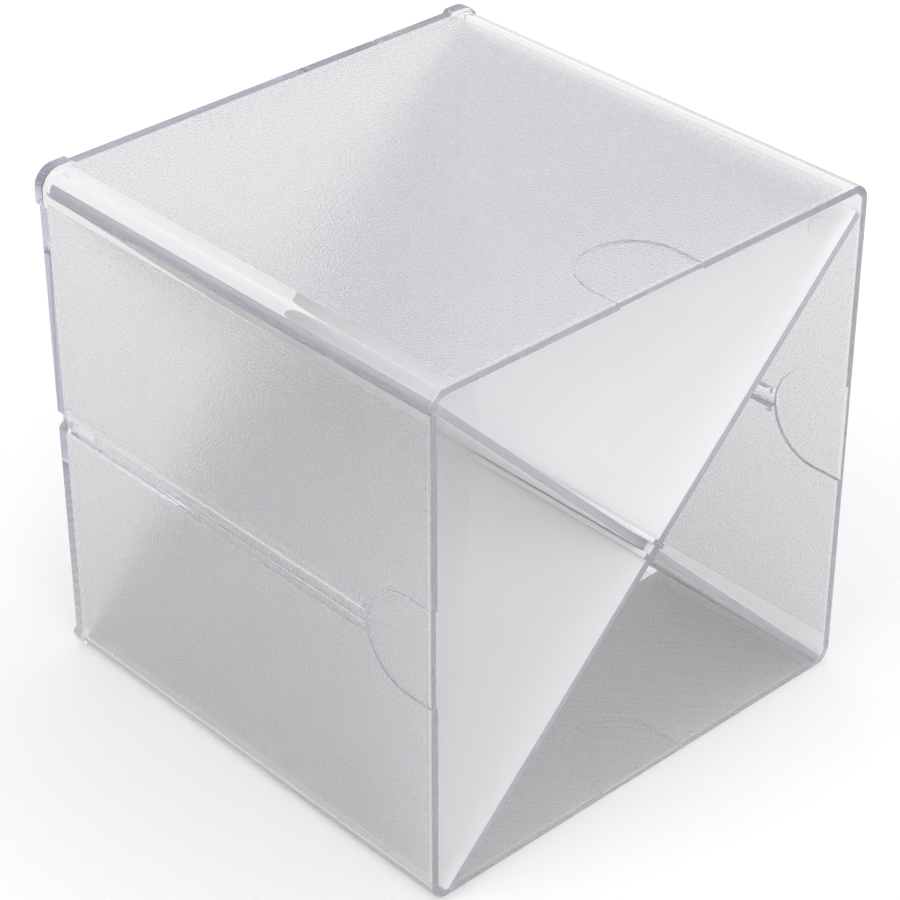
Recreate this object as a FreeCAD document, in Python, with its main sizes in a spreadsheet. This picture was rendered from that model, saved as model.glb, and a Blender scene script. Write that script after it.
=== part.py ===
# Stackable organiser cube: a clear moulded shell, open at the front, and two flat
# divider panels that cross in an X and make four three-sided compartments.
#
# Frame: millimetres, +Z up, the open front faces -Y. The origin lies under the middle of
# the whole object, on the surface that it stands on.
#
# Pieces: cube_shell is one moulding. seated_divider runs from the top left corner to the
# bottom right one, its square ends in grooves of the shell. crossing_divider runs from the
# bottom left corner to the top right one and halves into the first panel: its own slot
# opens to the rear and the seated panel's slot opens to the front, so it draws out first.
import FreeCAD, Part
import math
import os

import Sketcher

os.makedirs("parts", exist_ok=True)
doc = FreeCAD.newDocument("organiser_cube")
sheet = doc.addObject("Spreadsheet::Sheet", "dims")


class Size:
    """A length that holds its number and the sheet formula that gives it."""

    def __init__(self, text, value):
        self.text = text
        self.value = value

    def joined(self, sign, other, value):
        right = other.text if isinstance(other, Size) else repr(other)
        return Size(f"({self.text} {sign} {right})", value)

    def __add__(self, other):
        return self.joined("+", other, self.value + number(other))

    def __sub__(self, other):
        return self.joined("-", other, self.value - number(other))

    def __mul__(self, other):
        return self.joined("*", other, self.value * number(other))

    def __truediv__(self, other):
        return self.joined("/", other, self.value / number(other))

    def __neg__(self):
        return Size(f"(0 - {self.text})", -self.value)

    def root(self):
        return Size(f"sqrt({self.text})", math.sqrt(self.value))


def number(size):
    return size.value if isinstance(size, Size) else size


sheet_rows = []


def driving(alias, value):
    """Writes one driving dimension in the sheet and returns it as a Size."""
    sheet_rows.append(alias)
    row = len(sheet_rows)
    sheet.set(f"A{row}", alias)
    sheet.set(f"B{row}", str(value))
    sheet.setAlias(f"B{row}", alias)
    return Size(f"dims.{alias}", value)


# --- Driving dimensions, in millimetres -----------------------------------------------------

# Shell.
side = driving("side", 152.4)  # the square front, over the walls
depth = driving("depth", 150.8)  # front rim to rear face
wall = driving("wall", 2.2)
back_wall = driving("back_wall", 2.2)
corner_radius = driving("corner_radius", 5.0)  # outside of the four long corners
floor_radius = driving("floor_radius", 1.2)  # inside, where the walls meet the back
rim_radius = driving("rim_radius", 0.4)  # edges of the front rim

# Bumpers round the rear corners.
bumper_proud = driving("bumper_proud", 1.1)
bumper_depth = driving("bumper_depth", 4.0)
bumper_arm = driving("bumper_arm", 10.0)  # from the corner to the foot of the arm's end
bumper_foot = driving("bumper_foot", 7.0)  # the same, for the arms that rise at the bottom
bumper_round = driving("bumper_round", 0.5)  # front edges of the bumpers
rear_round = driving("rear_round", 1.0)  # edges round the rear face

# Finger grips: a round-ended sinking in the inner face of each wall, at the rim.
grip_width = driving("grip_width", 30.0)
grip_straight = driving("grip_straight", 9.5)
grip_sink = driving("grip_sink", 0.8)
grip_draft = driving("grip_draft", 15.0)  # degrees, slope of the grip's sides

# Channel along the outside of each side wall, with a window through it near the rear.
channel_mouth = driving("channel_mouth", 6.0)
channel_floor = driving("channel_floor", 3.6)
channel_sink = driving("channel_sink", 1.1)
channel_land = driving("channel_land", 0.3)  # grip to the channel's end
channel_ramp = driving("channel_ramp", 0.9)  # bevel at that end
notch_floor = driving("notch_floor", 1.6)  # the channel narrows and deepens at the rear
notch_sink = driving("notch_sink", 2.5)
notch_length = driving("notch_length", 1.4)  # within the back wall's thickness
window_length = driving("window_length", 9.0)
window_height = driving("window_height", 3.0)
window_inset = driving("window_inset", 6.8)  # rear face to the window

# Pair of shelf ribs along the inside of each side wall.
rib_pitch = driving("rib_pitch", 5.8)
rib_foot = driving("rib_foot", 2.4)
rib_crest = driving("rib_crest", 1.4)
rib_height = driving("rib_height", 1.6)
rib_nose = driving("rib_nose", 1.2)  # bevel at the front end
rib_land = driving("rib_land", 0.7)  # grip to the ribs' front ends

# Divider panels.
panel = driving("panel", 2.4)  # thickness of both
panel_gap = driving("panel_gap", 2.0)  # rear edge of the panels to the back wall
panel_corner = driving("panel_corner", 0.8)  # corners of both panels, seen flat
seated_drop = driving("seated_drop", 1.8)  # seated panel's middle, below the diagonal
groove_skin = driving("groove_skin", 0.7)  # shell left under the grooves
groove_clear = driving("groove_clear", 0.2)  # all round the seated panel's ends
corner_gap = driving("corner_gap", 0.45)  # crossing panel's end to the shell's corner
crossing_proud = driving("crossing_proud", 2.2)  # how far it stands out of the front
lap_depth = driving("lap_depth", 63.0)  # front rim to where the two slots meet
lap_clear = driving("lap_clear", 0.25)  # a panel in the other's slot, each side
guide_width = driving("guide_width", 1.5)  # ribs on the crossing panel, along its joint
guide_height = driving("guide_height", 1.3)
mark_diameter = driving("mark_diameter", 5.6)  # round mould mark on the crossing panel
mark_sink = driving("mark_sink", 0.15)
mark_inset = driving("mark_inset", 7.8)  # from two edges of the panel to its centre

# --- Places that several pieces share -------------------------------------------------------

REACH = 5.0  # how far a cutting outline runs past the material that it cuts
ALONG = math.sqrt(0.5)  # share of a 45 degree length along each of its two axes
PAIR = (-1, 1)
half_side = side / 2
front = (crossing_proud - depth) / 2  # front rim
rear = front + depth
inner_half = half_side - wall
inner_radius = corner_radius - wall
inner_depth = depth - back_wall
back_face = front + inner_depth
grip_end = front + grip_straight + grip_width / 2
panel_depth = inner_depth - panel_gap
lap_width = panel + lap_clear * 2
panel_shift = seated_drop * ALONG  # both panels' middles, left of and below the shell's


def bind(thing, path, size):
    thing.setExpression(path, size.text)


def new_body(label):
    body = doc.addObject("PartDesign::Body", label)
    body.Label = label
    return body


def new_sketch(body, name, role, lift=None):
    """Adds a sketch on one of the body's origin planes, lifted off it along its normal."""
    sketch = body.newObject("Sketcher::SketchObject", name)
    plane = next(p for p in body.Origin.OriginFeatures if p.Role == role)
    sketch.AttachmentSupport = [(plane, "")]
    sketch.MapMode = "FlatFace"
    if lift is not None:
        bind(sketch, "AttachmentOffset.Base.z", lift)
    return sketch


def front_sketch(body, name, place):
    """Adds a sketch across the shell at a distance behind the origin, +Z as its height.
    It faces forwards: a pocket from it cuts to the rear, a pad is reversed to grow so."""
    return new_sketch(body, name, "XZ_Plane", -place)


def dimension(sketch, kind, line, end, size):
    """Holds one end of a line at a distance from the sketch's origin."""
    held = Sketcher.Constraint(kind, -1, 1, line, end, number(size))
    index = sketch.addConstraint(held)
    if isinstance(size, Size):
        bind(sketch, f"Constraints[{index}]", size)


def outline(sketch, corners, centres=None):
    """Draws one closed outline, anticlockwise. centres gives, for the side that starts at
    a corner's index, the middle of the arc that replaces it and bulges outwards."""
    centres = centres or {}
    points = [FreeCAD.Vector(number(x), number(y), 0) for x, y in corners]
    ends = points[1:] + points[:1]
    sides = []
    for i, (start, end) in enumerate(zip(points, ends)):
        edge = Part.LineSegment(start, end)
        if i in centres:
            middle = FreeCAD.Vector(number(centres[i][0]), number(centres[i][1]), 0)
            chord = end - start
            outwards = FreeCAD.Vector(chord.y, -chord.x, 0).normalize()
            crown = middle + outwards * (start - middle).Length
            edge = Part.Arc(start, crown, end)
        sides.append(sketch.addGeometry(edge, False))
    for i, edge in enumerate(sides):
        following = sides[(i + 1) % len(sides)]
        sketch.addConstraint(Sketcher.Constraint("Coincident", edge, 2, following, 1))
        dimension(sketch, "DistanceX", edge, 1, corners[i][0])
        dimension(sketch, "DistanceY", edge, 1, corners[i][1])
        if i in centres:
            level = abs(points[i].y - ends[i].y) < 1e-9
            kind, axis = ("DistanceY", 1) if level else ("DistanceX", 0)
            dimension(sketch, kind, edge, 3, centres[i][axis])


def mirrored(corners, way):
    """The same outline, or its mirror image about the height axis, still anticlockwise."""
    if way > 0:
        return corners
    return [(-x, y) for x, y in reversed(corners)]


def rectangle(sketch, left, right, low, high):
    outline(sketch, [(left, low), (right, low), (right, high), (left, high)])


def rounded_rectangle(sketch, half, low, high, radius):
    """Draws a rectangle with round corners, centred on the height axis."""
    near_side = half - radius
    lower = radius + low
    upper = high - radius
    corners = [(-near_side, low), (near_side, low), (half, lower), (half, upper)]
    corners += [(near_side, high), (-near_side, high), (-half, upper), (-half, lower)]
    centres = {1: (near_side, lower), 3: (near_side, upper)}
    centres.update({5: (-near_side, upper), 7: (-near_side, lower)})
    outline(sketch, corners, centres)


def add_feature(body, kind, name, sketch, length, **settings):
    """Pads or pockets a sketch by a length and checks that material came or went."""
    before = body.Shape.Volume if body.Tip else 0.0
    feature = body.newObject(f"PartDesign::{kind}", name)
    feature.Profile = sketch
    for setting, value in settings.items():
        setattr(feature, setting, value)
    bind(feature, "Length", length)
    doc.recompute()
    gained = body.Shape.Volume - before
    if gained * (1 if kind == "Pad" else -1) <= 0:
        raise ValueError(f"{name} changed the volume by {gained:.3f}")


def edges_where(body, wanted):
    """Names of the body's edges whose two ends pass the test."""
    names = []
    for i, edge in enumerate(body.Shape.Edges, start=1):
        ends = [vertex.Point for vertex in edge.Vertexes]
        if len(ends) == 2 and wanted(*ends):
            names.append(f"Edge{i}")
    if not names:
        raise ValueError(f"no such edges on {body.Label}")
    return names


def dress(body, kind, name, wanted, size):
    """Rounds or bevels the edges that pass the test."""
    names = edges_where(body, wanted)
    base = body.Tip
    feature = body.newObject(f"PartDesign::{kind}", name)
    feature.Base = (base, names)
    bind(feature, "Radius" if kind == "Fillet" else "Size", size)
    doc.recompute()


def near(a, b):
    return abs(a - number(b)) < 1e-4


# --- cube_shell: block, bumpers and cavity --------------------------------------------------

shell = new_body("cube_shell")

block_sketch = front_sketch(shell, "block_outline", front)
rounded_rectangle(block_sketch, half_side, side * 0, side, corner_radius)
add_feature(shell, "Pad", "block", block_sketch, depth, Reversed=True)

# The bumpers start as a whole collar, flush with the bottom so that the cube rests flat.
collar_front = rear - bumper_depth
collar_half = half_side + bumper_proud
collar_top = side + bumper_proud
collar_radius = corner_radius + bumper_proud
collar_sketch = front_sketch(shell, "collar_outline", collar_front)
rounded_rectangle(collar_sketch, collar_half, side * 0, collar_top, collar_radius)
add_feature(shell, "Pad", "collar", collar_sketch, bumper_depth, Reversed=True)

# The collar is cut away between the corners, with 45 degree ends, which leaves the arms.
arm_end = half_side - bumper_arm
arm_rise = bumper_proud * 2
over_top = front_sketch(shell, "gap_over_top", collar_front)
gap_corners = [(-arm_end, side), (arm_end, side)]
gap_corners += [(arm_end + arm_rise, side + arm_rise)]
gap_corners += [(-(arm_end + arm_rise), side + arm_rise)]
outline(over_top, gap_corners)
add_feature(shell, "Pocket", "bumper_gap_top", over_top, bumper_depth + REACH)
beside = front_sketch(shell, "gap_beside", collar_front)
for way in PAIR:
    gap_corners = [(half_side, bumper_foot), (half_side + arm_rise, bumper_foot - arm_rise)]
    gap_corners += [(half_side + arm_rise, side - bumper_arm + arm_rise)]
    gap_corners += [(half_side, side - bumper_arm)]
    outline(beside, mirrored(gap_corners, way))
add_feature(shell, "Pocket", "bumper_gap_sides", beside, bumper_depth + REACH)


def at_rear(a, b):
    return near(a.y, rear) and near(b.y, rear)


def at_bumper_front(a, b):
    if not (near(a.y, collar_front) and near(b.y, collar_front)):
        return False
    past_side = number(half_side + bumper_proud / 2)
    past_top = number(side + bumper_proud / 2)
    return all(abs(p.x) > past_side or p.z > past_top for p in (a, b))


dress(shell, "Fillet", "rear_edges", at_rear, rear_round)
dress(shell, "Fillet", "bumper_edges", at_bumper_front, bumper_round)

cavity_sketch = front_sketch(shell, "cavity_outline", front)
rounded_rectangle(cavity_sketch, inner_half, wall, side - wall, inner_radius)
add_feature(shell, "Pocket", "cavity", cavity_sketch, inner_depth)


def at_back_face(a, b):
    return near(a.y, back_face) and near(b.y, back_face)


def at_rim(a, b):
    return near(a.y, front) and near(b.y, front)


dress(shell, "Fillet", "cavity_floor", at_back_face, floor_radius)
dress(shell, "Fillet", "rim", at_rim, rim_radius)

# --- cube_shell: grips, channels, windows, ribs and grooves ---------------------------------

# A sketch on the YZ plane has +Y to its right and +Z up. The sides of a grip slope, so
# each is drawn at its mouth, on the inner face of its wall.
grip_half = grip_width / 2
grip_stop = front + grip_straight
grip_mouth = front - REACH


def cut_grip(name, role, lift, corners, round_side, centre, outwards):
    """Sinks one grip into a wall whose inner face lies at lift along the plane's normal."""
    sketch = new_sketch(shell, f"{name}_outline", role, lift)
    outline(sketch, corners, {round_side: centre})
    slope = {"TaperAngle": -number(grip_draft), "Reversed": outwards > 0}
    add_feature(shell, "Pocket", name, sketch, grip_sink, **slope)
    bind(shell.Tip, "TaperAngle", -grip_draft)


grip_corners = [(grip_mouth, half_side - grip_half), (grip_stop, half_side - grip_half)]
grip_corners += [(grip_stop, half_side + grip_half), (grip_mouth, half_side + grip_half)]
for name, lift, way in (("right_grip", inner_half, 1), ("left_grip", -inner_half, -1)):
    cut_grip(name, "YZ_Plane", lift, grip_corners, 1, (grip_stop, half_side), way)

grip_corners = [(-grip_half, grip_mouth), (grip_half, grip_mouth)]
grip_corners += [(grip_half, grip_stop), (-grip_half, grip_stop)]
for name, lift, way in (("top_grip", side - wall, 1), ("bottom_grip", wall, -1)):
    cut_grip(name, "XY_Plane", lift, grip_corners, 2, (0.0, grip_stop), way)


def cut_channel(name, place, floor, sink, length):
    """Cuts a tapered channel in the outside of both side walls, from place to the rear."""
    sketch = front_sketch(shell, f"{name}_outline", place)
    for way in PAIR:
        low = half_side - channel_mouth / 2
        high = half_side + channel_mouth / 2
        corners = [(half_side - sink, half_side - floor / 2), (half_side, low)]
        corners += [(half_side + REACH, low), (half_side + REACH, high)]
        corners += [(half_side, high), (half_side - sink, half_side + floor / 2)]
        outline(sketch, mirrored(corners, way))
    add_feature(shell, "Pocket", name, sketch, length)


channel_end = grip_end + channel_land
cut_channel("channels", channel_end, channel_floor, channel_sink, depth)
cut_channel("rear_notches", rear - notch_length, notch_floor, notch_sink, back_wall)


def at_channel_end(a, b):
    on_wall = near(abs(a.x), half_side) and near(abs(b.x), half_side)
    return on_wall and near(a.y, channel_end) and near(b.y, channel_end)


dress(shell, "Chamfer", "channel_ramps", at_channel_end, channel_ramp)

window_sketch = new_sketch(shell, "window_outline", "YZ_Plane")
window_rear = rear - window_inset
window_stop = window_rear - window_length + window_height / 2
window_low = half_side - window_height / 2
window_high = half_side + window_height / 2
window_corners = [(window_stop, window_low), (window_rear, window_low)]
window_corners += [(window_rear, window_high), (window_stop, window_high)]
outline(window_sketch, window_corners, {3: (window_stop, half_side)})
add_feature(shell, "Pocket", "windows", window_sketch, side, Midplane=True)

rib_front = grip_end + rib_land
rib_root = (wall - channel_sink) / 2
rib_sketch = front_sketch(shell, "rib_outline", rib_front)
for way in PAIR:
    for level in PAIR:
        centre = half_side + rib_pitch / 2 * level
        low = centre - rib_foot / 2
        high = centre + rib_foot / 2
        crest = inner_half - rib_height
        corners = [(crest, centre - rib_crest / 2), (inner_half, low)]
        corners += [(inner_half + rib_root, low), (inner_half + rib_root, high)]
        corners += [(inner_half, high), (crest, centre + rib_crest / 2)]
        outline(rib_sketch, mirrored(corners, way))
rib_length = back_face - rib_front
add_feature(shell, "Pad", "shelf_ribs", rib_sketch, rib_length, Reversed=True)


def at_rib_nose(a, b):
    on_crest = near(abs(a.x), inner_half - rib_height) and near(a.x, b.x)
    return on_crest and near(a.y, rib_front) and near(b.y, rib_front)


dress(shell, "Chamfer", "rib_noses", at_rib_nose, rib_nose)

# The seated panel's lower face dips into the left and bottom walls, down to the skin.
groove_corner = groove_skin + groove_clear * 2 * ALONG
seated_half = (half_side - groove_corner) / ALONG - seated_drop - panel / 2
groove_sketch = front_sketch(shell, "groove_outline", front)
groove_sketch.AttachmentOffset = FreeCAD.Placement(
    groove_sketch.AttachmentOffset.Base, FreeCAD.Rotation(FreeCAD.Vector(0, 0, 1), -45)
)
bind(groove_sketch, "AttachmentOffset.Base.x", -panel_shift)
bind(groove_sketch, "AttachmentOffset.Base.y", half_side - panel_shift)
groove_half = seated_half + groove_clear
groove_rise = panel / 2 + groove_clear
rectangle(groove_sketch, -groove_half, groove_half, -groove_rise, groove_rise)
add_feature(shell, "Pocket", "grooves", groove_sketch, panel_depth + groove_clear)

# --- divider panels, each drawn flat and then tipped to its diagonal ------------------------


def divider(label, half_length, front_edge, tip):
    """Makes a panel with X along its length, Y to the rear and Z through its thickness,
    standing where the two panels cross, at the front rim, tipped about the Y axis."""
    body = new_body(label)
    sketch = new_sketch(body, f"{label}_outline", "XY_Plane")
    rectangle(sketch, -half_length, half_length, front_edge, panel_depth)
    add_feature(body, "Pad", f"{label}_sheet", sketch, panel, Midplane=True)

    def at_corner(a, b):
        return near(a.x, b.x) and near(a.y, b.y)

    dress(body, "Fillet", f"{label}_corners", at_corner, panel_corner)
    turn = FreeCAD.Rotation(FreeCAD.Vector(0, 1, 0), tip)
    body.Placement = FreeCAD.Placement(FreeCAD.Vector(), turn)
    bind(body, "Placement.Base.x", -panel_shift)
    bind(body, "Placement.Base.y", front)
    bind(body, "Placement.Base.z", half_side - panel_shift)
    return body


lap_half = lap_width / 2
seated = divider("seated_divider", seated_half, side * 0, 45)
mouth_sketch = new_sketch(seated, "front_slot_outline", "XY_Plane")
slot_corners = [(-lap_half, -REACH), (lap_half, -REACH)]
slot_corners += [(lap_half, lap_depth), (-lap_half, lap_depth)]
outline(mouth_sketch, slot_corners, {2: (0.0, lap_depth)})
add_feature(seated, "Pocket", "front_slot", mouth_sketch, panel * 2, Midplane=True)

# The crossing panel is centred on the seated one, and its lower end just clears the
# rounded corner of the shell.
corner_centre = (inner_half - inner_radius) / ALONG
corner_reach = (inner_radius * inner_radius - panel * panel / 4).root()
crossing_half = corner_centre + corner_reach - seated_drop - corner_gap
crossing = divider("crossing_divider", crossing_half, -crossing_proud, -45)
tail_sketch = new_sketch(crossing, "rear_slot_outline", "XY_Plane")
slot_corners = [(-lap_half, lap_depth), (lap_half, lap_depth)]
slot_corners += [(lap_half, panel_depth + REACH), (-lap_half, panel_depth + REACH)]
outline(tail_sketch, slot_corners, {0: (0.0, lap_depth)})
add_feature(crossing, "Pocket", "rear_slot", tail_sketch, panel * 2, Midplane=True)

# Low ribs on both faces keep the seated panel square to the crossing one.
guide_sketch = new_sketch(crossing, "guide_outline", "XY_Plane")
guide_outer = lap_half + guide_width
for way in PAIR:
    guide_stop = lap_depth - guide_width / 2
    corners = [(lap_half, -crossing_proud), (guide_outer, -crossing_proud)]
    corners += [(guide_outer, guide_stop), (lap_half, guide_stop)]
    round_side = 2 if way > 0 else 0
    middle = (lap_half + guide_width / 2) * way
    outline(guide_sketch, mirrored(corners, way), {round_side: (middle, guide_stop)})
guide_rise = panel + guide_height * 2
add_feature(crossing, "Pad", "joint_guides", guide_sketch, guide_rise, Midplane=True)

mark_sketch = new_sketch(crossing, "mould_mark_outline", "XY_Plane", panel / 2)
mark_x = crossing_half - mark_inset
mark_y = mark_inset - crossing_proud
mark_place = FreeCAD.Vector(number(mark_x), number(mark_y), 0)
mark_axis = FreeCAD.Vector(0, 0, 1)
mark_circle = Part.Circle(mark_place, mark_axis, number(mark_diameter) / 2)
mark = mark_sketch.addGeometry(mark_circle, False)
dimension(mark_sketch, "DistanceX", mark, 3, mark_x)
dimension(mark_sketch, "DistanceY", mark, 3, mark_y)
mark_held = Sketcher.Constraint("Diameter", mark, number(mark_diameter))
mark_index = mark_sketch.addConstraint(mark_held)
bind(mark_sketch, f"Constraints[{mark_index}]", mark_diameter)
add_feature(crossing, "Pocket", "mould_mark", mark_sketch, mark_sink)

# --- Checks and export ----------------------------------------------------------------------

pieces = (shell, seated, crossing)
doc.recompute()
for thing in doc.Objects:
    if {"Invalid", "Error"} & set(thing.State):
        raise ValueError(f"{thing.Label} failed: {thing.State}")
for piece in pieces:
    shape = piece.Shape
    if shape.isNull() or not shape.isValid() or len(shape.Solids) != 1:
        raise ValueError(f"{piece.Label} is not one valid solid")
for piece in pieces:
    box = piece.Shape.BoundBox
    piece.Shape.exportStep(f"parts/{piece.Label}.step")
    print(f"{piece.Label}: {piece.Shape.Volume:.1f} mm3, {box}")
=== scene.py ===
# %% [markdown]
# # A clear organiser cube
# The object is an open-front cube moulded in clear polystyrene, with two frosted panels that
# cross in an X inside it. Its pieces arrive from the CAD model with their true sizes, so this
# lesson is about looks: clean normals and small radii on clear plastic, a texture that only
# covers part of a face, and a studio that makes transparent edges show.

import math

import bmesh
import bpy
from mathutils import Euler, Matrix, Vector


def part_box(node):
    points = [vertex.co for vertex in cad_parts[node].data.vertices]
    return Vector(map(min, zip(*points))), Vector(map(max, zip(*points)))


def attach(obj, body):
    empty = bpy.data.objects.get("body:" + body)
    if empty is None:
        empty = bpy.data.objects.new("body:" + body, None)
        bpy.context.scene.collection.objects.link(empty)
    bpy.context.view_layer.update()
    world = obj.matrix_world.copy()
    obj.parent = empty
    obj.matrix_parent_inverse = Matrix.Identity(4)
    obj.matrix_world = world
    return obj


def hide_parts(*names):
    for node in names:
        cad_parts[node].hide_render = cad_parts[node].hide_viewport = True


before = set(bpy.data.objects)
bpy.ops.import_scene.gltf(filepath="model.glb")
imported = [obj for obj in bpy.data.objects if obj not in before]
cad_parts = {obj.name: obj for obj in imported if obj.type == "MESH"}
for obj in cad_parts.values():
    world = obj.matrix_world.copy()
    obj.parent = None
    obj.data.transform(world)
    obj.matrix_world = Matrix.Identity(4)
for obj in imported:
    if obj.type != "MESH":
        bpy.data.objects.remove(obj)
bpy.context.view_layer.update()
MM = 0.001
for name in sorted(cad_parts):
    low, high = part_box(name)
    size = ", ".join(f"{(b - a) / MM:.1f}" for a, b in zip(low, high))
    print(f"{name}: {size} mm")

# %% [markdown]
# ## Sizes
# Everything below is in metres and in the frame's own axes: the open front faces -Y and the
# cube stands on z = 0. The named sizes are the real ones, so each piece lands where the model
# has it.

# %% Sizes of the mouldings
SIDE = 152.4 * MM
HALF = SIDE / 2
FRONT = -74.3 * MM
REAR = 76.5 * MM
PANEL = 2.4 * MM
# The panels cross this far down one diagonal from the middle.
DROP = 1.8 * MM
ALONG = math.sqrt(0.5)
CROSSING = Vector((-DROP * ALONG, FRONT, HALF - DROP * ALONG))
print(f"the panels cross at {[round(v / MM, 2) for v in CROSSING]} mm")


# %% [markdown]
# ## Small helpers
# Colours are easiest to read as the hex codes of paint programs, but light adds up in linear
# numbers, so one function converts. Another adds a node with its settings and its links.

# %% Helpers for nodes and colours
def colour(code):
    """Turns an sRGB hex code into linear RGBA."""
    shares = [int(code[i:i + 2], 16) / 255 for i in (1, 3, 5)]
    return [s / 12.92 if s <= 0.04045 else ((s + 0.055) / 1.055) ** 2.4 for s in shares] + [1]


def add(tree, kind, inputs=None, **settings):
    """Adds a node. inputs maps a socket's name or number to a plain value, to a socket, to a
    node (its first output) or to a tuple of nodes that all join the one socket."""
    node = tree.nodes.new(kind)
    for setting, value in settings.items():
        setattr(node, setting, value)
    for key, value in (inputs or {}).items():
        socket = node.inputs[key]
        for source in value if isinstance(value, tuple) else (value,):
            if isinstance(source, bpy.types.Node):
                tree.links.new(source.outputs[0], socket)
            elif isinstance(source, bpy.types.NodeSocket):
                tree.links.new(source, socket)
            else:
                socket.default_value = source
    return node


def new_material(name):
    """Starts an empty node material and returns it with its tree."""
    material = bpy.data.materials.new(name)
    material.use_nodes = True
    material.node_tree.nodes.clear()
    return material, material.node_tree


print("helpers ready")


# %% [markdown]
# ## Where the moulded texture lies
# Crystal polystyrene is almost colourless and bends light more than glass does: its refractive
# index is 1.59. Polished tool steel leaves the inside and the edges of the shell smooth. The
# large outer faces come from spark-eroded steel, whose fine pebbles scatter what is seen
# through them. That texture stops short of the edges, and the back is polished, so its wall
# carries light along like the rims do. One material holds both finishes: a mask worked out
# from the position on the object says where the pebbles are.

# %% A mask for the texture
# How wide the polished band is along the four long edges, at the back and at the open front.
EDGE_BAND = 8.6 * MM
REAR_BAND = 4.2 * MM
FRONT_BAND = 1.5 * MM
CHANNEL_SINK = 1.1 * MM
# A point this near an outer face counts as on it. Borders fade over this much to each side.
SKIN = 0.3 * MM
SOFT = 0.15 * MM


def within(tree, value, low, high):
    """1 where a coordinate lies between two limits, with a short soft step."""
    rise = add(tree, "ShaderNodeMapRange",
               {"Value": value, "From Min": low - SOFT, "From Max": low + SOFT})
    fall = add(tree, "ShaderNodeMapRange",
               {"Value": value, "From Min": high - SOFT, "From Max": high + SOFT})
    return add(tree, "ShaderNodeMath", {0: rise, 1: fall}, operation="SUBTRACT")


def texture_mask(tree, position):
    """1 on the textured part of the top, the sides and the bottom."""
    x, y, z = add(tree, "ShaderNodeSeparateXYZ", {0: position}).outputs
    across = within(tree, x, EDGE_BAND - HALF, HALF - EDGE_BAND)
    up = within(tree, z, EDGE_BAND, SIDE - EDGE_BAND)
    deep = within(tree, y, FRONT + FRONT_BAND, REAR - REAR_BAND)
    off_middle = add(tree, "ShaderNodeMath", {0: x}, operation="ABSOLUTE")
    on_wall = add(tree, "ShaderNodeMath", {0: off_middle, 1: HALF - SKIN},
                  operation="GREATER_THAN")
    # The floor of the channel along each side is textured too, and its sloping sides are not.
    in_channel = add(tree, "ShaderNodeMath", {0: off_middle, 1: HALF - CHANNEL_SINK, 2: SOFT},
                     operation="COMPARE")
    on_side = add(tree, "ShaderNodeMath", {0: on_wall, 1: in_channel}, operation="MAXIMUM")
    height = add(tree, "ShaderNodeMath", {0: z, 1: HALF}, operation="SUBTRACT")
    off_level = add(tree, "ShaderNodeMath", {0: height}, operation="ABSOLUTE")
    on_level = add(tree, "ShaderNodeMath", {0: off_level, 1: HALF - SKIN},
                   operation="GREATER_THAN")
    side_field = add(tree, "ShaderNodeMath", {0: on_side, 1: up}, operation="MULTIPLY")
    level_field = add(tree, "ShaderNodeMath", {0: on_level, 1: across}, operation="MULTIPLY")
    either = add(tree, "ShaderNodeMath", {0: side_field, 1: level_field}, operation="MAXIMUM")
    return add(tree, "ShaderNodeMath", {0: either, 1: deep}, operation="MULTIPLY")


print(f"texture stops {EDGE_BAND / MM:.1f} mm from the long edges")


# %% [markdown]
# ## Clear polystyrene
# Clear plastic gets its look from three things: how straight light passes the surface, what
# little the surface keeps back, and the faint lilac tint that dyes the plastic's own yellow
# away. The tint only shows where light runs a long way inside, along the edges of the walls.

# %% The shell's material
REFRACTION = 1.59
PEBBLE = 0.6 * MM
PEBBLE_HEIGHT = 0.13 * MM
POLISHED_ROUGHNESS, ERODED_ROUGHNESS = 0.012, 0.2
# The noise runs from 0 to 1, and a pebble's flank lies between these two values.
FLANK_FOOT, FLANK_CREST = 0.42, 0.58
# These greys are painted shade on the pebbles' flanks and crests, which darkens the textured
# face as a whole. They are matched to how such walls look in this light, not measured on the
# plastic.
FLANK_SHADE, CREST_SHADE = colour("#E5E6E9"), colour("#FAFBFC")
TINT = colour("#E7DFEF")
TINT_DENSITY = 8.0


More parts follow.
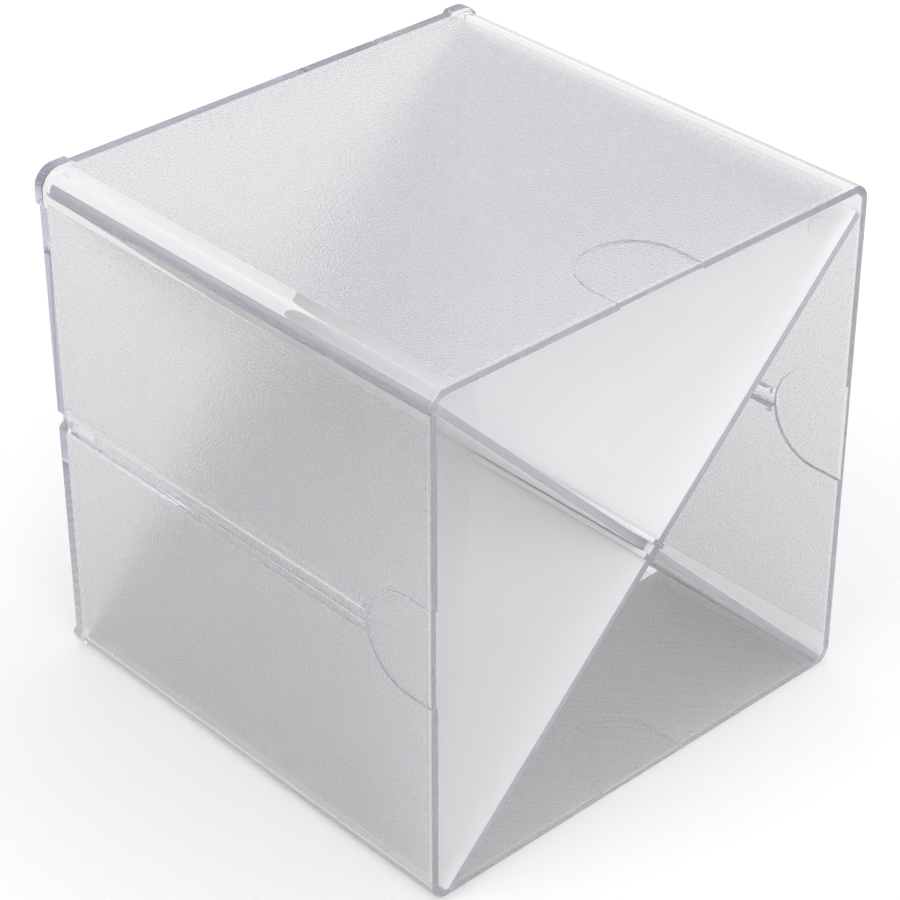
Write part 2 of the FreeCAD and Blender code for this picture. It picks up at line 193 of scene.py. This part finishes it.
def clear_polystyrene():
    """Injection-moulded crystal polystyrene, part polished and part spark-eroded texture."""
    material, tree = new_material("crystal_polystyrene_moulded")
    position = add(tree, "ShaderNodeTexCoord").outputs["Object"]
    mask = texture_mask(tree, position)
    # Pebbles of about half a millimetre, as a coarse spark-eroded finish leaves.
    pebbles = add(tree, "ShaderNodeTexNoise",
                  {"Vector": position, "Scale": 1 / PEBBLE, "Detail": 1.0, "Roughness": 0.55})
    height = add(tree, "ShaderNodeMath", {0: pebbles, 1: mask}, operation="MULTIPLY")
    bump = add(tree, "ShaderNodeBump",
               {"Height": height, "Strength": 1.0, "Distance": PEBBLE_HEIGHT})
    roughness = add(tree, "ShaderNodeMapRange",
                    {"Value": mask, "To Min": POLISHED_ROUGHNESS, "To Max": ERODED_ROUGHNESS})
    # The pebbles' flanks turn some light away. That shade is painted into the base colour as a
    # fine grey speckle.
    steepness = add(tree, "ShaderNodeMapRange",
                    {"Value": pebbles, "From Min": FLANK_FOOT, "From Max": FLANK_CREST})
    # A colour mix keeps its two colours in sockets 6 and 7, and its result in output 2.
    flanks = add(tree, "ShaderNodeMix", {0: steepness, 6: FLANK_SHADE, 7: CREST_SHADE},
                 data_type="RGBA")
    # The polished parts stay white, and the textured parts take the painted shade of the
    # speckle.
    painted_speckle = add(tree, "ShaderNodeMix",
               {0: mask, 6: colour("#FFFFFF"), 7: flanks.outputs[2]}, data_type="RGBA")
    shader = add(tree, "ShaderNodeBsdfPrincipled",
                 {"Base Color": painted_speckle.outputs[2], "Roughness": roughness, "IOR": REFRACTION,
                  "Transmission Weight": 1.0, "Normal": bump})
    volume = add(tree, "ShaderNodeVolumeAbsorption",
                 {"Color": TINT, "Density": TINT_DENSITY})
    add(tree, "ShaderNodeOutputMaterial", {"Surface": shader, "Volume": volume})
    return material


CLEAR = clear_polystyrene()
print(CLEAR.name)

# %% [markdown]
# ## Frosted faces and polished edges
# The panels are the same plastic. Their large faces are matt from the tool, so they scatter
# light and look white, while the narrow edges are clear and show the lilac tint. That is two
# finishes on one piece, with a clean border along the edges, so it is two materials.


# %% The panels' two materials
GRAIN = 0.5 * MM


def panel_polystyrene(name, base, roughness, clarity, grain_height):
    """Clear polystyrene moulded against steel that is matt or polished."""
    material, tree = new_material(name)
    position = add(tree, "ShaderNodeTexCoord").outputs["Object"]
    # A blasted tool leaves grains of about 0.1 mm; they are drawn coarser so that they show.
    grain = add(tree, "ShaderNodeTexNoise",
                {"Vector": position, "Scale": 1 / GRAIN, "Detail": 2.0})
    bump = add(tree, "ShaderNodeBump",
               {"Height": grain, "Strength": 0.4, "Distance": grain_height})
    shader = add(tree, "ShaderNodeBsdfPrincipled",
                 {"Base Color": colour(base), "Roughness": roughness, "IOR": REFRACTION,
                  "Transmission Weight": clarity, "Normal": bump})
    add(tree, "ShaderNodeOutputMaterial", {"Surface": shader})
    return material


FROSTED = panel_polystyrene("polystyrene_frosted_face", base="#FDFDFD", roughness=0.5,
                            clarity=0.15, grain_height=0.04 * MM)
POLISHED = panel_polystyrene("polystyrene_polished_edge", base="#F0EEFA", roughness=0.12,
                             clarity=0.6, grain_height=0.004 * MM)
print(FROSTED.name, POLISHED.name)


# %% [markdown]
# ## The shell
# The shell's shape is one moulding with many small cuts, and the model already has it exactly.
# Its mesh is loose triangles with flat shading, which shows as facets when light bends through
# the round corners. A merged copy with weighted normals keeps the large faces flat and turns
# the corners smooth, and the copy stands in for the model's node.

# %% The shell's clean copy
WELD = 0.002 * MM
# Faces that meet at less than the first angle become one. Edges over the second stay sharp.
FLAT_BELOW = math.radians(0.5)
SHARP_ABOVE = math.radians(50)


def clean_copy(node, name, material):
    """Copies a CAD node, merges its triangles and smooths everything but true edges."""
    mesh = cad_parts[node].data.copy()
    mesh.name = name
    piece = bpy.data.objects.new(name, mesh)
    bpy.context.scene.collection.objects.link(piece)
    work = bmesh.new()
    work.from_mesh(mesh)
    bmesh.ops.remove_doubles(work, verts=work.verts, dist=WELD)
    bmesh.ops.dissolve_limit(work, angle_limit=FLAT_BELOW, verts=work.verts,
                             edges=work.edges)
    for face in work.faces:
        face.smooth = True
    for edge in work.edges:
        edge.smooth = edge.calc_face_angle(0) < SHARP_ABOVE
    work.to_mesh(mesh)
    work.free()
    mesh.materials.clear()
    mesh.materials.append(material)
    weighted = piece.modifiers.new("weighted_normals", "WEIGHTED_NORMAL")
    weighted.keep_sharp = True
    weighted.weight = 100
    depsgraph = bpy.context.evaluated_depsgraph_get()
    finished = bpy.data.meshes.new_from_object(piece.evaluated_get(depsgraph))
    piece.modifiers.clear()
    piece.data = finished
    return piece


shell = clean_copy("cube_shell", "clear_shell", CLEAR)
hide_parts("cube_shell")
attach(shell, "shell")
print(f"{shell.name}: {len(shell.data.polygons)} faces")


# %% [markdown]
# ## The two slotted panels
# Both panels follow one rule: a flat sheet with round corners and one slot, so that they halve
# into each other like the dividers of a bottle crate. One Geometry Nodes tree builds either,
# from named sizes. The crossing panel also carries low guide ribs on both sides of the joint;
# they are one small rib repeated on two points. A shallow round mark is where the tool's
# ejector pin pushed the panel out.

# %% Blocks for the tree
ARC_POINTS = 10
# A round end's radius is a hair under half the width, so that its two arcs never meet.
ROUND_END = 0.4999
# Points nearer than this become one.
TOUCHING = 0.001 * MM


def prism(tree, width, height, centre, radius, thickness):
    """Nodes for a flat block with round corners, lying in XY and centred on z = 0."""
    outline = add(tree, "GeometryNodeCurvePrimitiveQuadrilateral",
                  {"Width": width, "Height": height})
    rounded = add(tree, "GeometryNodeFilletCurve",
                  {"Curve": outline, "Count": ARC_POINTS, "Radius": radius,
                   "Limit Radius": True},
                  mode="POLY")
    filled = add(tree, "GeometryNodeFillCurve", {0: rounded}, mode="NGONS")
    up = add(tree, "ShaderNodeCombineXYZ", {2: thickness})
    raised = add(tree, "GeometryNodeExtrudeMesh",
                 {"Mesh": filled, "Offset": up, "Offset Scale": 1.0, "Individual": False})
    under = add(tree, "GeometryNodeFlipFaces", {0: filled})
    closed = add(tree, "GeometryNodeJoinGeometry", {0: (under, raised)})
    merged = add(tree, "GeometryNodeMergeByDistance",
                 {"Geometry": closed, "Distance": TOUCHING})
    sink = add(tree, "ShaderNodeMath", {0: thickness, 1: -0.5}, operation="MULTIPLY")
    place = add(tree, "ShaderNodeCombineXYZ", {0: centre[0], 1: centre[1], 2: sink})
    return add(tree, "GeometryNodeTransform", {"Geometry": merged, "Translation": place})


def span_and_middle(tree, low, high):
    """The length from low to high, and the point halfway."""
    span = add(tree, "ShaderNodeMath", {0: high, 1: low}, operation="SUBTRACT")
    total = add(tree, "ShaderNodeMath", {0: low, 1: high}, operation="ADD")
    return span, add(tree, "ShaderNodeMath", {0: total, 1: 0.5}, operation="MULTIPLY")


# %% A tree for slotted panels
# Any block wider and taller than the ribs will do to cut them square.
KEEP = 20 * MM


def slotted_panel_tree():
    """A sheet from y = Front to y = Rear, with a slot, guide ribs beside it and a mark."""
    tree = bpy.data.node_groups.new("slotted_panel", "GeometryNodeTree")
    sockets = tree.interface
    sockets.new_socket("Panel", in_out="OUTPUT", socket_type="NodeSocketGeometry")
    for name in ("Length", "Front", "Rear", "Thickness", "Corner Radius", "Slot Width",
                 "Slot From", "Slot To", "Rib Width", "Rib Height", "Rib Length",
                 "Mark Across", "Mark Behind", "Mark Diameter", "Mark Depth"):
        sockets.new_socket(name, in_out="INPUT", socket_type="NodeSocketFloat")
    for name in ("Face Material", "Edge Material"):
        sockets.new_socket(name, in_out="INPUT", socket_type="NodeSocketMaterial")
    given = tree.nodes.new("NodeGroupInput").outputs
    front, thickness = given["Front"], given["Thickness"]

    deep, middle = span_and_middle(tree, front, given["Rear"])
    sheet = prism(tree, given["Length"], deep, (0.0, middle), given["Corner Radius"],
                  thickness)
    through = add(tree, "ShaderNodeMath", {0: thickness, 1: 2.0}, operation="MULTIPLY")
    half_slot = add(tree, "ShaderNodeMath", {0: given["Slot Width"], 1: ROUND_END},
                    operation="MULTIPLY")
    slot_deep, slot_middle = span_and_middle(tree, given["Slot From"], given["Slot To"])
    slot = prism(tree, given["Slot Width"], slot_deep, (0.0, slot_middle), half_slot, through)
    slotted = add(tree, "GeometryNodeMeshBoolean", {"Mesh 1": sheet, "Mesh 2": slot},
                  operation="DIFFERENCE", solver="EXACT")

    # The rib is drawn twice as long and cut in half, so that its front end is square.
    rib_rise = add(tree, "ShaderNodeMath", {0: given["Rib Height"], 1: 2.0, 2: thickness},
                   operation="MULTIPLY_ADD")
    half_rib = add(tree, "ShaderNodeMath", {0: given["Rib Width"], 1: ROUND_END},
                   operation="MULTIPLY")
    whole = add(tree, "ShaderNodeMath", {0: given["Rib Length"], 1: 2.0},
                operation="MULTIPLY")
    bar = prism(tree, given["Rib Width"], whole, (0.0, 0.0), half_rib, rib_rise)
    rear_half = add(tree, "ShaderNodeMath", {0: given["Rib Length"], 1: 0.5},
                    operation="MULTIPLY")
    keep = prism(tree, KEEP, given["Rib Length"], (0.0, rear_half), 0.0, KEEP)
    rib = add(tree, "GeometryNodeMeshBoolean", {"Mesh 2": (bar, keep)},
              operation="INTERSECT", solver="EXACT")
    pitch = add(tree, "ShaderNodeMath", {0: given["Slot Width"], 1: given["Rib Width"]},
                operation="ADD")
    left = add(tree, "ShaderNodeMath", {0: pitch, 1: -0.5}, operation="MULTIPLY")
    start = add(tree, "ShaderNodeCombineXYZ", {0: left, 1: front})
    step = add(tree, "ShaderNodeCombineXYZ", {0: pitch})
    points = add(tree, "GeometryNodeMeshLine",
                 {"Count": 2, "Start Location": start, "Offset": step}, mode="OFFSET")
    pair = add(tree, "GeometryNodeInstanceOnPoints", {"Points": points, "Instance": rib})
    ribs = add(tree, "GeometryNodeRealizeInstances", {0: pair})
    ribbed = add(tree, "GeometryNodeMeshBoolean", {"Mesh 2": (slotted, ribs)},
                 operation="UNION", solver="EXACT")

    # The mark's cutter is centred on the upper face, so half of it cuts.
    mark_half = add(tree, "ShaderNodeMath", {0: given["Mark Diameter"], 1: ROUND_END},
                    operation="MULTIPLY")
    mark_deep = add(tree, "ShaderNodeMath", {0: given["Mark Depth"], 1: 2.0},
                    operation="MULTIPLY")
    disc = prism(tree, given["Mark Diameter"], given["Mark Diameter"],
                 (given["Mark Across"], given["Mark Behind"]), mark_half, mark_deep)
    to_face = add(tree, "ShaderNodeMath", {0: thickness, 1: 0.5}, operation="MULTIPLY")
    lift = add(tree, "ShaderNodeCombineXYZ", {2: to_face})
    lifted = add(tree, "GeometryNodeTransform", {"Geometry": disc, "Translation": lift})
    marked = add(tree, "GeometryNodeMeshBoolean", {"Mesh 1": ribbed, "Mesh 2": lifted},
                 operation="DIFFERENCE", solver="EXACT")
    has_ribs = add(tree, "ShaderNodeMath", {0: given["Rib Height"], 1: 0.0},
                   operation="GREATER_THAN")
    body = add(tree, "GeometryNodeSwitch", {0: has_ribs, 1: slotted, 2: marked},
               input_type="GEOMETRY")

    realised = add(tree, "GeometryNodeRealizeInstances", {0: body})
    frosted = add(tree, "GeometryNodeSetMaterial",
                  {"Geometry": realised, "Material": given["Face Material"]})
    facing = add(tree, "ShaderNodeSeparateXYZ", {0: add(tree, "GeometryNodeInputNormal")})
    tilt = add(tree, "ShaderNodeMath", {0: facing.outputs[2]}, operation="ABSOLUTE")
    on_edge = add(tree, "ShaderNodeMath", {0: tilt, 1: 0.5}, operation="LESS_THAN")
    polished = add(tree, "GeometryNodeSetMaterial",
                   {"Geometry": frosted, "Selection": on_edge,
                    "Material": given["Edge Material"]})
    add(tree, "NodeGroupOutput", {0: polished})
    return tree


PANEL_TREE = slotted_panel_tree()
print(f"{PANEL_TREE.name}: {len(PANEL_TREE.nodes)} nodes")


# %% Both panels from the tree
EDGE_ROUND = 0.25 * MM
# Only edges that turn more than this are rounded.
ROUND_ABOVE = math.radians(40)


def make_panel(name, tilt, sizes):
    """Builds one panel flat, rounds its edges and tips it to its diagonal."""
    piece = bpy.data.objects.new(name, bpy.data.meshes.new(name))
    bpy.context.scene.collection.objects.link(piece)
    nodes = piece.modifiers.new("panel", "NODES")
    nodes.node_group = PANEL_TREE
    sizes = {**sizes, "Face Material": FROSTED, "Edge Material": POLISHED}
    for item in PANEL_TREE.interface.items_tree:
        if item.in_out == "INPUT":
            nodes[item.identifier] = sizes.get(item.name, 0.0)
    edges = piece.modifiers.new("edges", "BEVEL")
    edges.width = EDGE_ROUND
    edges.segments = 3
    edges.limit_method = "ANGLE"
    edges.angle_limit = ROUND_ABOVE
    edges.harden_normals = True
    depsgraph = bpy.context.evaluated_depsgraph_get()
    mesh = bpy.data.meshes.new_from_object(piece.evaluated_get(depsgraph))
    piece.modifiers.clear()
    turn = Euler((0, tilt, 0)).to_matrix().to_4x4()
    turn.translation = CROSSING
    mesh.transform(turn)
    for polygon in mesh.polygons:
        polygon.use_smooth = True
    piece.data = mesh
    return piece


# The two slots meet this far behind the seated panel's front edge.
LAP = 63.0 * MM
DEEP = 146.6 * MM
# The crossing panel stands this much further out.
PROUD = 2.2 * MM
SLOT = PANEL + 0.5 * MM
# A slot's cutter starts this far outside the sheet.
PAST = 20 * MM
MARK_INSET = 7.8 * MM
CROSSING_LENGTH = 201.98 * MM
shared = {"Rear": DEEP, "Thickness": PANEL, "Corner Radius": 0.8 * MM, "Slot Width": SLOT}
seated_sizes = {
    **shared, "Length": 206.74 * MM, "Front": 0.0, "Slot From": -PAST,
    "Slot To": LAP + SLOT / 2,
}
crossing_sizes = {
    **shared, "Length": CROSSING_LENGTH, "Front": -PROUD, "Slot From": LAP - SLOT / 2,
    "Slot To": DEEP + PAST, "Rib Width": 1.5 * MM, "Rib Height": 1.3 * MM,
    "Rib Length": LAP + PROUD, "Mark Across": CROSSING_LENGTH / 2 - MARK_INSET,
    "Mark Behind": MARK_INSET - PROUD, "Mark Diameter": 5.6 * MM, "Mark Depth": 0.15 * MM,
}
seated = make_panel("seated_panel_sheet", math.radians(45), seated_sizes)
crossing = make_panel("crossing_panel_sheet", math.radians(-45), crossing_sizes)
for piece, node, body in ((seated, "seated_divider", "seated_panel"),
                          (crossing, "crossing_divider", "crossing_panel")):
    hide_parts(node)
    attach(piece, body)
    shape = bmesh.new()
    shape.from_mesh(piece.data)
    volume = shape.calc_volume() / MM ** 3
    open_edges = sum(not edge.is_manifold for edge in shape.edges)
    shape.free()
    low = [min(v.co[i] for v in piece.data.vertices) / MM for i in range(3)]
    high = [max(v.co[i] for v in piece.data.vertices) / MM for i in range(3)]
    print(piece.name, [round(v, 2) for v in low + high], f"{volume:.0f} mm3",
          f"{open_edges} open edges")


# %% [markdown]
# ## The studio
# Clear plastic shows only what it bends into view. The room is white round the horizon and
# slightly lilac-grey overhead, which draws the edges. The camera itself sees plain white, and
# the floor keeps the cube's soft shadow. By the way it faces, an open surface gets 0.7 to 1.2
# times the light at which a colour renders as it is written. The almost white panels still
# reach full white in places once they are drawn out of the cube.

# %% The room
WHITE = colour("#FFFFFF")
OVERHEAD = colour("#F6F5FC")
DAYLIGHT = colour("#FCFDFF")
DAYLIGHT_LEVEL = 0.62
# How high a direction points, from 0 level to 1 straight up, where the ramp starts and ends.
RAMP_FROM, RAMP_TO = 0.2, 0.9
BOUNCES = 96
DIFFUSE_BOUNCES = 32


def studio_world():
    """A white room for the lens, and a slightly graded one for what plastic bends."""
    world = bpy.data.worlds.new("studio_room")
    bpy.context.scene.world = world
    world.use_nodes = True
    tree = world.node_tree
    tree.nodes.clear()
    direction = add(tree, "ShaderNodeTexCoord").outputs["Generated"]
    up = add(tree, "ShaderNodeSeparateXYZ", {0: direction}).outputs[2]
    ramp = add(tree, "ShaderNodeValToRGB", {0: up})
    low, high = ramp.color_ramp.elements
    low.position, low.color = RAMP_FROM, WHITE
    high.position, high.color = RAMP_TO, OVERHEAD
    room = add(tree, "ShaderNodeBackground", {"Color": ramp, "Strength": 1.0})
    white = add(tree, "ShaderNodeBackground", {"Color": WHITE, "Strength": 1.0})
    # The cube's inside is lit through its walls by the full room. Open surfaces get less.
    light = add(tree, "ShaderNodeBackground", {"Color": DAYLIGHT, "Strength": DAYLIGHT_LEVEL})
    path = add(tree, "ShaderNodeLightPath").outputs
    bent = add(tree, "ShaderNodeMath",
               {0: path["Is Glossy Ray"], 1: path["Is Transmission Ray"]},
               operation="MAXIMUM")
    mixed = add(tree, "ShaderNodeMixShader", {0: bent, 1: light, 2: room})
    final = add(tree, "ShaderNodeMixShader", {0: path["Is Camera Ray"], 1: mixed, 2: white})
    add(tree, "ShaderNodeOutputWorld", {0: final})


studio_world()
light_paths = bpy.context.scene.cycles
light_paths.max_bounces = BOUNCES
light_paths.transmission_bounces = BOUNCES
light_paths.glossy_bounces = BOUNCES
light_paths.diffuse_bounces = DIFFUSE_BOUNCES
print(f"light may bounce {light_paths.max_bounces} times, because walls trap it")


# %% The floor and the lamps
FLOOR_SIZE = 8.0
PAPER = colour("#DCDCDC")
# The paper's own glow for the lens grows from the first distance to the second.
GLOW_FROM, GLOW_TO = 0.1, 1.0
GLOW_NEAR, GLOW_FAR = 0.26, 0.6
# So does the share of plain white that rays bent by plastic or shine see on it.
CLEAR_FROM, CLEAR_TO = 0.1, 0.45
CLEAR_NEAR, CLEAR_FAR = 0.3, 0.85
BENT_WHITE = 0.95


def floor_material():
    """Matt paper that reads as white to the lens and still takes the shadow."""
    material, tree = new_material("pale_matt_floor")
    matt = add(tree, "ShaderNodeBsdfDiffuse", {"Color": PAPER})
    place = add(tree, "ShaderNodeTexCoord").outputs["Object"]
    away = add(tree, "ShaderNodeVectorMath", {0: place}, operation="LENGTH").outputs["Value"]
    path = add(tree, "ShaderNodeLightPath").outputs
    # The lamps' pool fades outwards, so the paper's own glow for the lens grows to meet it.
    rise = add(tree, "ShaderNodeMapRange",
               {"Value": away, "From Min": GLOW_FROM, "From Max": GLOW_TO,
                "To Min": GLOW_NEAR, "To Max": GLOW_FAR})
    lift = add(tree, "ShaderNodeMath", {0: path["Is Camera Ray"], 1: rise},
               operation="MULTIPLY")
    glow = add(tree, "ShaderNodeEmission", {"Color": WHITE, "Strength": lift})
    direct = add(tree, "ShaderNodeAddShader", {0: matt, 1: glow})
    lit = add(tree, "ShaderNodeEmission", {"Color": WHITE, "Strength": BENT_WHITE})
    bent = add(tree, "ShaderNodeMath",
               {0: path["Is Glossy Ray"], 1: path["Is Transmission Ray"]},
               operation="MAXIMUM")
    # What plastic bends into view gets whiter further out and keeps the dark under the cube.
    clearing = add(tree, "ShaderNodeMapRange",
                   {"Value": away, "From Min": CLEAR_FROM, "From Max": CLEAR_TO,
                    "To Min": CLEAR_NEAR, "To Max": CLEAR_FAR})
    share = add(tree, "ShaderNodeMath", {0: bent, 1: clearing}, operation="MULTIPLY")
    both = add(tree, "ShaderNodeMixShader", {0: share, 1: direct, 2: lit})
    add(tree, "ShaderNodeOutputMaterial", {"Surface": both})
    return material


def lamp(name, place, size, power):
    """Adds a soft round lamp that points at the middle of the cube."""
    data = bpy.data.lights.new(name, "AREA")
    data.shape = "DISK"
    data.size = size
    data.energy = power
    lamp_object = bpy.data.objects.new(name, data)
    lamp_object.location = place
    aim = Vector((0, 0, HALF)) - Vector(place)
    lamp_object.rotation_euler = aim.to_track_quat("-Z", "Y").to_euler()
    bpy.context.scene.collection.objects.link(lamp_object)


bpy.ops.mesh.primitive_plane_add(size=FLOOR_SIZE, location=(0, 0, 0))
floor = bpy.context.object
floor.name = "floor"
floor.data.materials.append(floor_material())
lamp("key", place=(-0.65, -1.2, 1.1), size=1.1, power=6.0)
lamp("left", place=(-0.95, 0.1, 1.25), size=1.0, power=5.0)
lamp("right", place=(0.8, -0.3, 1.2), size=1.0, power=3.5)
lamp("top", place=(0.2, 0.1, 1.5), size=1.4, power=3.5)
print("studio ready")

# %% [markdown]
# ## The camera
# The cube is seen from above and to its left, from a little under 0.8 metres.

# %% Camera and finish
SENSOR_WIDTH = 36
LENS = 116.069
VIEWPOINT = (-0.45111, -0.48571, 0.49848)
# Degrees up from straight down, of roll, and round to the right from the +Y direction.
PITCH, ROLL, HEADING = 57.05137, 0.06473, 42.84383

camera_data = bpy.data.cameras.new("camera")
camera_data.sensor_width = SENSOR_WIDTH
camera_data.lens = LENS
camera = bpy.data.objects.new("camera", camera_data)
camera.location = VIEWPOINT
camera.rotation_euler = [math.radians(a) for a in (PITCH, ROLL, -HEADING)]
bpy.context.scene.collection.objects.link(camera)
bpy.context.scene.camera = camera
bpy.context.scene.view_settings.view_transform = "Standard"
